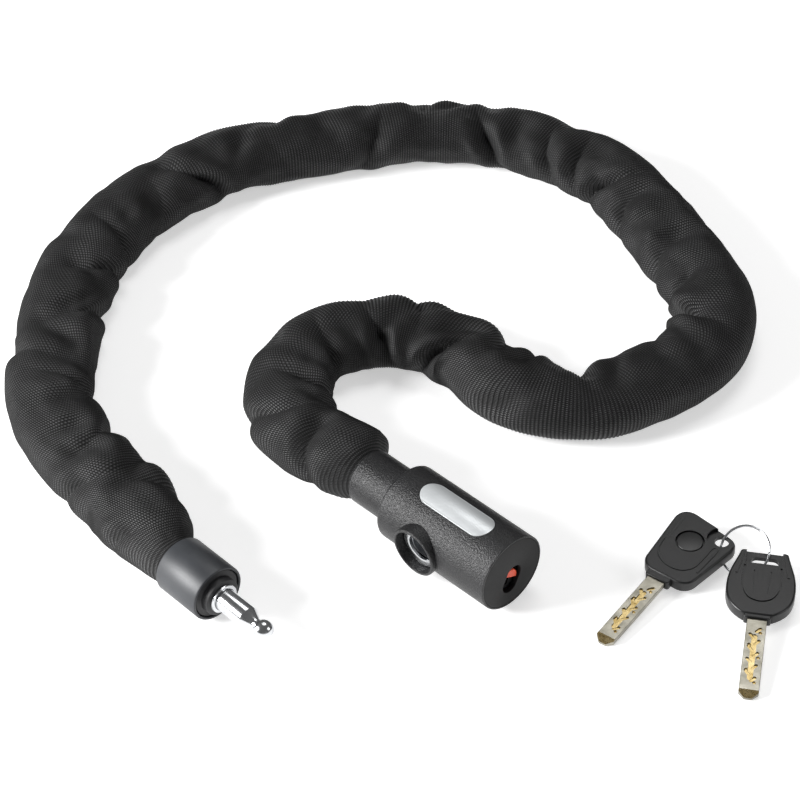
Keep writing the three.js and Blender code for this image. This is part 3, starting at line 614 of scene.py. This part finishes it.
def cloth_offset(s, angle, hollows, bend):
    """How far the cloth stands out of its smooth section, in millimetres."""
    out = sum(fold_line(s, angle, fold) for fold in FOLDS if abs(s - fold[0]) < 60)
    for at, centre, depth, length, lean in hollows:
        around = (angle - centre + math.pi) % TURN - math.pi
        away = (s - at - lean * around) / length
        if abs(away) < 2.5:
            out -= depth * math.exp(-(away ** 2)) * math.exp(-((around / 0.62) ** 2))
    outer = max(0.0, -math.cos(angle) * (1 if bend > 0 else -1)) * min(1.0, abs(bend) * 60)
    loose = 1 - 0.8 * outer
    out += loose * 1.7 * noise.noise(Vector((math.cos(angle) * 1.3, math.sin(angle) * 1.3, s / 24)))
    out += loose * 0.7 * noise.noise(Vector((math.cos(angle) * 2.6, math.sin(angle) * 2.6, s / 9 + 40)))
    return out


class CHAINLOCK_OT_sleeve(Operator):
    """Weave the cloth sleeve in three lengths that meet under the cloth's own folds"""
    bl_idname = "chainlock.sleeve"
    bl_label = "Woven sleeve"

    sides = 84
    tuck = 2.2

    def execute(self, context):
        sizes = context.scene.chainlock_sleeve
        rib = sizes.rib / MM
        line, length = sleeve_line(rib / 3, self.tuck)
        hollows = dents(length)
        count = len(line) - 1
        joins = [0, round(count / 3), round(2 * count / 3), count]
        bends = [("lock", "chain_near", (26, 0, 10), (56, 0, 10)),
                 ("chain_near", "chain_middle", (82, 0, 10), (46, 0, 10)),
                 ("chain_middle", "chain_end", (0, 30, 10), (0, -4, 10))]
        stands_for = [("sleeve_1", "sleeve_2"), ("sleeve_2", "sleeve_3"), ("sleeve_3", "sleeve_4")]
        rings = [self.ring(line, i, length, hollows, sizes, rib) for i in range(count + 1)]
        for k, (near, far, start, end) in enumerate(bends):
            first, last = joins[k], joins[k + 1]
            sleeve = self.length_of_sleeve(f"sleeve_cloth_{k + 1}", rings, first, last, sizes.yarns)
            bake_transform(sleeve)
            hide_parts(*stands_for[k])
        return {"FINISHED"}

    def ring(self, line, i, length, hollows, sizes, rib):
        """One ring of the cloth's vertices, in metres, around a point of the line."""
        before, after = line[max(i - 4, 0)], line[min(i + 4, len(line) - 1)]
        ahead = (after - before).normalized()
        side = Vector((0, 0, 1)).cross(ahead).normalized()
        up = ahead.cross(side)
        spread = 18
        a = line[i] - line[max(i - spread, 0)]
        b = line[min(i + spread, len(line) - 1)] - line[i]
        bend = (a.x * b.y - a.y * b.x) / max(a.length * b.length, 1e-6) / (spread * rib / 3)
        s = length * i / (len(line) - 1)
        from_end = min(s, length - s)
        end_radius = 10.4
        spread_over = 13 if s < length / 2 else 30
        open_out = smoothstep(from_end, self.tuck * 0.6, self.tuck + spread_over)
        bunch = math.sin(math.pi * smoothstep(from_end, self.tuck * 0.6, self.tuck + 12))
        ripple = (0.3, -0.08, -0.08)[i % 3] if 4 < i < len(line) - 5 else 0
        points = []
        for k in range(self.sides):
            angle = TURN * k / self.sides
            across, lift = math.cos(angle), math.sin(angle)
            power = 2 / 2.35
            wide = sizes.width / MM / 2 * math.copysign(abs(across) ** power, across)
            tall = sizes.height / MM / 2 * math.copysign(abs(lift) ** power, lift)
            outward = Vector((across, lift)).normalized()
            stand = (cloth_offset(s, angle, hollows, bend) + 0.3) * open_out + ripple
            stand += 1.3 * bunch * (0.5 + noise.noise(Vector((across * 1.5, lift * 1.5, s / 60))))
            wide = end_radius * across * (1 - open_out) + wide * open_out + outward.x * stand
            tall = end_radius * lift * (1 - open_out) + tall * open_out + outward.y * stand
            point = line[i] + side * wide + up * tall
            point.z = max(point.z, 0.25 + 0.15 * ripple)
            points.append(point * MM)
        return points

    def length_of_sleeve(self, name, rings, first, last, yarns):
        """A closed tube over a run of rings, with the weave's own map."""
        bm = bmesh.new()
        weave = bm.loops.layers.uv.new("weave")
        made = [[bm.verts.new(p) for p in rings[i]] for i in range(first, last + 1)]
        for row, (near, far) in enumerate(zip(made, made[1:])):
            for k in range(self.sides):
                nxt = (k + 1) % self.sides
                face = bm.faces.new((near[k], near[nxt], far[nxt], far[k]))
                for loop, (du, dv) in zip(face.loops, ((0, 0), (1, 0), (1, 1), (0, 1))):
                    loop[weave].uv = ((k + du) * yarns / self.sides, (first + row + dv) / 3)
        for ring, reverse in ((made[0], True), (made[-1], False)):
            bm.faces.new(reversed(ring) if reverse else ring)
        bmesh.ops.recalc_face_normals(bm, faces=bm.faces)
        return finish_piece(name, bm, Matrix.Identity(4), None, [FINISHES["weave"]], smooth=60)


# ---- lock body ----

class CHAINLOCK_OT_body(Operator):
    """Shape the lock's body with its side socket and the seat of its label"""
    bl_idname = "chainlock.body"
    bl_label = "Lock body"

    def execute(self, context):
        sizes = context.scene.chainlock_lock
        r, end = sizes.body_radius / MM, sizes.body_length / MM
        shell = turned_shape([
            (0, 12.6), (0, r - 1.6), (0.12, r - 1.0), (0.5, r - 0.42), (1.05, r - 0.1), (1.8, r),
            (end - 0.6, r), (end - 0.22, r - 0.08), (end - 0.03, r - 0.28), (end, r - 0.5), (end, r - 0.8),
            (58.3, r - 0.85), (58.3, 14.6), (2.4, 14.6), (2.4, 12.6),
        ], 160)
        boss = turned_shape([
            (10, 0), (10, BOSS_R), (18.1, BOSS_R), (18.55, BOSS_R - 0.1), (18.8, BOSS_R - 0.32),
            (18.9, BOSS_R - 0.65), (18.9, 0),
        ], 112, "-Y")
        shell = combined(shell, moved(boss, (BOSS_X, 0, 0)), "UNION")
        socket = turned_shape([
            (12.6, 0), (12.6, SOCKET_R), (18.5, SOCKET_R), (18.78, SOCKET_R + 0.15), (19.1, SOCKET_R + 0.4),
            (20, SOCKET_R + 0.4), (20, 0),
        ], 112, "-Y")
        shell = combined(shell, moved(socket, (BOSS_X, 0, 0)))
        inside = turned_shape([(2.4, 0), (2.4, 14.6), (58.3, 14.6), (58.3, 0)], 160)
        shell = combined(shell, inside)
        seat = flat_slab(stadium(38.1, 12.6, 28), 0, 19)
        keep = turned_shape([(-1, 0), (-1, r - 0.8), (62, r - 0.8), (62, 0)], 160)
        shell = combined(shell, combined(moved(seat, (LABEL_X, 0, 0)), keep))
        finish_piece("lock_body", shell, LOCK, "lock", [FINISHES["paint"]], ["lock_shell"])

        skin = turned_shape([(10, r - 0.75), (10, r - 0.02), (53, r - 0.02), (53, r - 0.75)], 160)
        plate = moved(flat_slab(stadium(37.5, 12, 28), 5, 19), (LABEL_X, 0, 0))
        plate = combined(skin, plate, "INTERSECT")
        soften(plate, 0.22, 50, 2)
        finish_piece("label_plate_silver", plate, LOCK, "lock", [FINISHES["label"]], ["label_plate"])
        return {"FINISHED"}


class CHAINLOCK_OT_neck(Operator):
    """Turn the neck that the sleeve is tucked into"""
    bl_idname = "chainlock.neck"
    bl_label = "Neck"

    def execute(self, context):
        rim = -NECK_LENGTH
        neck = turned_shape([
            (6.2, 0), (6.2, 12.2), (-0.3, 12.2), (rim + 0.7, 12.2), (rim + 0.25, 12.08), (rim, 11.75),
            (rim, 11.3), (rim + 0.3, 11.02), (3.4, 11.0), (3.4, 0),
        ], 128)
        finish_piece("neck_tube", neck, NECK, "lock", [FINISHES["paint"]], ["neck_collar"])
        return {"FINISHED"}


class CHAINLOCK_OT_cap(Operator):
    """Fit the end cap around the keyhole, and the plug's face, keyway and shutter behind it"""
    bl_idname = "chainlock.cap"
    bl_label = "End cap and keyhole"

    def execute(self, context):
        cap = turned_shape([
            (58.6, 0), (58.6, 16.1), (60.35, 16.1), (60.55, 16.0), (60.62, 15.7), (60.6, 15.3), (60.6, 0),
        ], 128)
        hole = moved(flat_slab(stadium(13, 8.2, 22), 56, 62), turn=(90, "Y"))
        hole = moved(hole, (0, 0, PLUG_Z), (KEYHOLE_LEAN, "X"))
        cap = combined(cap, hole)
        soften(cap, 0.25, 60, 2)
        finish_piece("end_cap_plate", cap, LOCK, "lock", [FINISHES["cap"]], ["end_cap"])

        face = turned_shape([(36.9, 0), (36.9, 6.6), (57.75, 6.6), (58.0, 6.35), (58.0, 0)], 72)
        keyway = round_corners([(-4.3, -1.45), (4.3, -1.45), (4.3, 1.45), (-4.3, 1.45)], 0.5, 4)
        keyway = moved(flat_slab(keyway, 38.6, 59), turn=(90, "Y"))
        pocket = flat_slab([(-5.1, -3.4), (1.2, -3.4), (1.2, 3.4), (-5.1, 3.4)], 51, 59)
        pocket = moved(pocket, turn=(90, "Y"))
        face = combined(combined(face, keyway), pocket)
        soften(face, 0.12, 50, 1)
        finish_piece("plug_core", face, PLUG, "plug", [FINISHES["cap"]], ["plug"])

        angles = [math.pi * i / 24 for i in range(25)]
        half_round = [(-3.85 * math.sin(a) - 0.15, 3.85 * math.cos(a)) for a in angles]
        flap = flat_slab(half_round, 56.7, 59.6, 0.7, 4)
        finish_piece("shutter", moved(flap, turn=(90, "Y")), PLUG, "shutter", [FINISHES["red"]],
                     ["shutter_flap"])
        return {"FINISHED"}


class CHAINLOCK_OT_socket(Operator):
    """Line the bottom of the side socket with its bright guide"""
    bl_idname = "chainlock.socket"
    bl_label = "Socket guide"

    def execute(self, context):
        guide = turned_shape([(13.9, 5.9), (13.9, 9.5), (14.5, 9.5), (14.9, 9.0), (15.1, 7.0), (14.8, 6.1)],
                             96, "-Y")
        finish_piece("socket_guide", moved(guide, (BOSS_X, 0, 0)), LOCK, "lock", [FINISHES["chrome"]],
                     ["socket_liner"])
        return {"FINISHED"}


# ---- ferrule end ----

class CHAINLOCK_OT_ferrule(Operator):
    """Turn the ferrule, its step collar, the washer and the locking pin"""
    bl_idname = "chainlock.ferrule"
    bl_label = "Ferrule and locking pin"

    def execute(self, context):
        back = -FERRULE_LENGTH
        shell = turned_shape([
            (back, 11.4), (back + 0.25, 12.1), (back + 0.8, 12.35), (0.45, 12.35), (0.95, 12.2), (1.2, 11.85),
            (1.15, 11.3), (0.8, 11.05), (back + 0.4, 11.05),
        ], 128)
        finish_piece("ferrule_shell", shell, FERRULE, "chain_end", [FINISHES["ferrule"]], ["ferrule"])
        collar = turned_shape([
            (-3.1, 5.1), (-3.1, 10.75), (0.35, 10.75), (0.6, 10.5), (0.6, 8.6), (0.75, 8.3), (1.1, 8.2),
            (3.75, 8.2), (4.15, 8.05), (4.3, 7.7), (4.3, 5.1),
        ], 112)
        finish_piece("step_collar", collar, FERRULE, "chain_end", [FINISHES["collar"]], ["ferrule_collar"])
        washer = turned_shape([
            (4.42, 5.02), (4.42, 6.1), (4.55, 6.28), (4.85, 6.3), (4.98, 6.15), (5.06, 6.15), (5.2, 6.3),
            (5.45, 6.26), (5.6, 6.0), (5.6, 5.02),
        ], 80)
        finish_piece("bright_washer", washer, FERRULE, "chain_end", [FINISHES["chrome"]], ["pin_washer"])
        neck = math.asin(PIN_NECK_R / BALL_R)
        ball = [(BALL_X - BALL_R * math.cos(a), BALL_R * math.sin(a)) for a in
                (neck + (math.pi - neck) * i / 18 for i in range(18))]
        pin = turned_shape([
            (-5.6, 0), (-5.6, 10.6), (-3.4, 10.6), (-3.4, PIN_R), (19.5, PIN_R), (19.9, 4.68), (20.2, 4.45),
            (24.2, 2.5), (24.6, PIN_NECK_R), *ball, (BALL_X + BALL_R, 0),
        ], 96)
        finish_piece("locking_pin_bright", pin, FERRULE, "chain_end", [FINISHES["chrome"]], ["locking_pin"])
        return {"FINISHED"}


# ---- keys ----

def dimple(x, y, deep, wide, top):
    """A shallow milled pit."""
    bm = bmesh.new()
    bmesh.ops.create_cone(bm, cap_ends=True, segments=20, radius1=wide * 0.35, radius2=wide, depth=deep * 2)
    return moved(bm, (x, y, top))


def key_blade(thickness):
    """A milled blade: a channel down its middle with pits stepping from side to side, and a cut tip."""
    half = thickness / 2
    outline = [(7.9, -4), (7.9, 4), (-38.1, 4), (-40.5, 1.6), (-40.5, -1.6), (-38.1, -4)]
    blade = flat_slab(outline, -half, half, 0.18, 2)
    channel = flat_slab(stadium(24, 2.3, 8), half - 0.42, half + 1)
    blade = combined(blade, moved(channel, (-20.5, 0.2, 0)))
    for i, x in enumerate((-6.2, -9.4, -12.6, -15.8, -19, -22.2, -25.4, -28.6, -31.8)):
        side = 1 if i % 2 else -1
        pit = flat_slab(stadium(3.6, 1.5, 8), half - 0.6, half + 1)
        pit = moved(pit, (x, 0.2 + side * 1.25, 0), (38 * side, "Z"))
        blade = combined(blade, pit)
    for x, y in ((-7.6, -1.9), (-14, 2.0), (-20.6, -2.1), (-27, 2.0), (-33.4, -1.7)):
        blade = combined(blade, dimple(x, y, 0.62, 1.1, half))
    slope = flat_slab([(-7, -6), (3.6, -6), (3.6, 6), (-7, 6)], 0, 3)
    blade = combined(blade, moved(slope, (-38.3, 0, half - 0.45), (-20, "Y")))
    for face in blade.faces:
        middle = face.calc_center_median()
        cut_down = middle.z < half - 0.05 and face.normal.z > 0.15 and abs(middle.y) < 3.7
        face.material_index = 1 if cut_down else 0
    return blade


def with_bolster(head):
    """Joins the stepped collar that the blade leaves the head by, and hollows it for the tang."""
    collar = round_corners([(-0.5, -5.5), (4.5, -5.5), (4.5, 5.5), (-0.5, 5.5)], 0.9, 4)
    head = combined(head, flat_slab(collar, -2.15, 2.15, 0.4), "UNION")
    return combined(head, flat_slab([(-2, -4.15), (8.3, -4.15), (8.3, 4.15), (-2, 4.15)], -1.35, 1.35))


class CHAINLOCK_OT_key_one(Operator):
    """Mould the square-headed key with its round inset, and mill its blade"""
    bl_idname = "chainlock.key_one"
    bl_label = "Square-headed key"

    def execute(self, context):
        sizes = context.scene.chainlock_keys
        half = sizes.head_thickness / MM / 2
        outline = round_corners([(2.5, 9.7), (1.8, -13), (35, -18.7), (40.4, 12.8)], 6.0, 9)
        head = flat_slab(outline, -half, half, 0.9, 4)
        eye = turned_shape([(-5, 0), (-5, 3), (5, 3), (5, 0)], 40, "Z")
        head = combined(head, moved(eye, (*EYE_1, 0)))
        for low, high in ((0.95, 5), (-5, -0.95)):
            lug = turned_shape([(low, 0), (low, 6.3), (high, 6.3), (high, 0)], 56, "Z")
            head = combined(head, moved(lug, (*EYE_1, 0)))
        groove = turned_shape([(half - 1.5, 0), (half - 1.5, 6.05), (half + 1, 6.05), (half + 1, 0)], 64, "Z")
        head = combined(head, moved(groove, INSET_AT))
        for path in (
            [(20, 9.0), (16, 8.6), (12.4, 7.3), (8.9, 3.4), (7.6, -1.4), (8.6, -6.4), (12.2, -9.6),
             (17, -10.3), (25.4, -10.4)],
            [(25.4, -10.4), (26.6, -11.1), (26.6, -12.2), (25.4, -12.9), (18, -12.8), (10.5, -12.4)],
        ):
            head = combined(head, ribbon(path, 0.75, half - 0.3, half + 0.3, 0.1), "UNION")
        for y in (7.4, 9.0):
            line = ribbon([(22, y), (28, y + 0.5), (34, y + 1.0)], 0.5, half - 0.3, half + 0.12)
            head = combined(head, line, "UNION")
        head = with_bolster(head)
        finish_piece("key_1_grip", head, KEY_1, "key_1", [FINISHES["plastic"]], ["key_1_head"])
        disc = turned_shape([(half - 1.3, 0), (half - 1.3, 5.4), (half - 0.3, 5.4), (half - 0.12, 5.25),
                             (half - 0.06, 4.9), (half - 0.06, 0)], 64, "Z")
        finish_piece("key_1_inset", moved(disc, INSET_AT), KEY_1, "key_1", [FINISHES["plastic"]],
                     ["key_1_disc"])
        finish_piece("key_1_milled_blade", key_blade(sizes.blade_thickness / MM), KEY_1, "key_1",
                     [FINISHES["nickel"], FINISHES["gilt"]], ["key_1_blade"])
        return {"FINISHED"}


class CHAINLOCK_OT_key_two(Operator):
    """Mould the round-shouldered key with its slot, and mill its blade"""
    bl_idname = "chainlock.key_two"
    bl_label = "Round-shouldered key"

    def outline(self):
        side = []
        for curve in (((1, 6), (5, 13), (10, 14), (16, 14)),
                      ((16, 14), (24, 14), (28, 11.5), (34.3, 10)),
                      ((34.3, 10), (35.4, 9.8), (35.8, 9.2), (35.8, 8))):
            points = [Vector((*p, 0)) for p in curve]
            side += [(p.x, p.y) for p in interpolate_bezier(*points, 12)][:-1]
        side.append((35.8, 8))
        return side + [(x, -y) for x, y in reversed(side)]

    def execute(self, context):
        sizes = context.scene.chainlock_keys
        half = sizes.head_thickness / MM / 2
        head = flat_slab(self.outline(), -half, half, 0.85, 4)
        slot = moved(flat_slab(stadium(11.3, 4.8, 12), -5, 5), (*EYE_2, 0), (90, "Z"))
        head = combined(head, slot)
        for low, high, start in ((0.95, 5, 28.4), (-5, -0.95, 24.4)):
            lug = flat_slab([(start, -7.4), (38, -7.4), (38, 7.4), (start, 7.4)], low, high)
            head = combined(head, lug)
        groove = ribbon([(27, -7.4), (20, -7.6), (14, -7.4), (9.6, -4.8), (8, 0), (9.6, 4.8), (14, 7.4),
                         (20, 7.6), (27, 7.4)], 0.8, half - 0.5, half + 1)
        head = combined(head, groove)
        for y in (-3.4, 3.4):
            head = combined(head, ribbon([(24.5, y), (18, y), (12, y * 0.8)], 0.5, half - 0.25, half + 1))
        for side in (-1, 1):
            ear = [(34.2, side * 8.6), (29, side * 9.3), (22, side * 10.6)]
            head = combined(head, ribbon(ear, 0.9, half - 0.3, half + 0.3), "UNION")
        head = with_bolster(head)
        finish_piece("key_2_grip", head, KEY_2, "key_2", [FINISHES["plastic"]], ["key_2_head"])
        finish_piece("key_2_milled_blade", key_blade(sizes.blade_thickness / MM), KEY_2, "key_2",
                     [FINISHES["nickel"], FINISHES["gilt"]], ["key_2_blade"])
        return {"FINISHED"}


class CHAINLOCK_OT_ring(Operator):
    """Bend the wire ring that holds the two keys"""
    bl_idname = "chainlock.ring"
    bl_label = "Key ring"

    def execute(self, context):
        wire = 0.58
        angles = [TURN * i / 14 for i in range(14)]
        section = [(wire * math.cos(a), RING_R + wire * math.sin(a)) for a in angles]
        ring = turned_shape(section, 120, "Z")
        finish_piece("key_ring_wire", ring, RING, "key_ring", [FINISHES["chrome"]], ["key_ring"])
        return {"FINISHED"}


class CHAINLOCK_OT_inner(Operator):
    """Give the pieces of the mechanism and the chain their metal finishes"""
    bl_idname = "chainlock.inner"
    bl_label = "Mechanism and chain finishes"

    def execute(self, context):
        brass = ("cylinder_body", "key_pin_1", "key_pin_2")
        for name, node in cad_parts.items():
            node.data.materials.clear()
            node.data.materials.append(FINISHES["brass" if name in brass else "steel"])
        return {"FINISHED"}


class CHAINLOCK_PT_pieces(Panel):
    """The pieces of the chain lock"""
    bl_idname = "CHAINLOCK_PT_pieces"
    bl_label = "Chain lock"
    bl_space_type = "VIEW_3D"
    bl_region_type = "UI"
    bl_category = "Chain lock"

    def draw(self, context):
        for operator in OPERATORS:
            self.layout.operator(operator.bl_idname)
        for name in SIZES:
            sizes = getattr(context.scene, name)
            box = self.layout.box()
            for key in sizes.bl_rna.properties.keys():
                if key not in {"rna_type", "name"}:
                    box.prop(sizes, key)


SIZES = {"chainlock_stage": StageSizes, "chainlock_sleeve": SleeveSizes, "chainlock_lock": LockSizes,
         "chainlock_keys": KeySizes}
OPERATORS = (
    CHAINLOCK_OT_stage, CHAINLOCK_OT_sleeve, CHAINLOCK_OT_body, CHAINLOCK_OT_neck, CHAINLOCK_OT_cap,
    CHAINLOCK_OT_socket, CHAINLOCK_OT_ferrule, CHAINLOCK_OT_key_one, CHAINLOCK_OT_key_two, CHAINLOCK_OT_ring,
    CHAINLOCK_OT_inner,
)


def register():
    for cls in (*SIZES.values(), *OPERATORS, CHAINLOCK_PT_pieces):
        bpy.utils.register_class(cls)
    for name, sizes in SIZES.items():
        setattr(bpy.types.Scene, name, PointerProperty(type=sizes))


def unregister():
    for name in SIZES:
        delattr(bpy.types.Scene, name)
    for cls in (CHAINLOCK_PT_pieces, *reversed(OPERATORS), *SIZES.values()):
        bpy.utils.unregister_class(cls)


def main():
    register()
    make_finishes(bpy.context.scene.chainlock_sleeve)
    for operator in OPERATORS:
        group, name = operator.bl_idname.split(".")
        getattr(getattr(bpy.ops, group), name)()


if __name__ == "__main__":
    main()
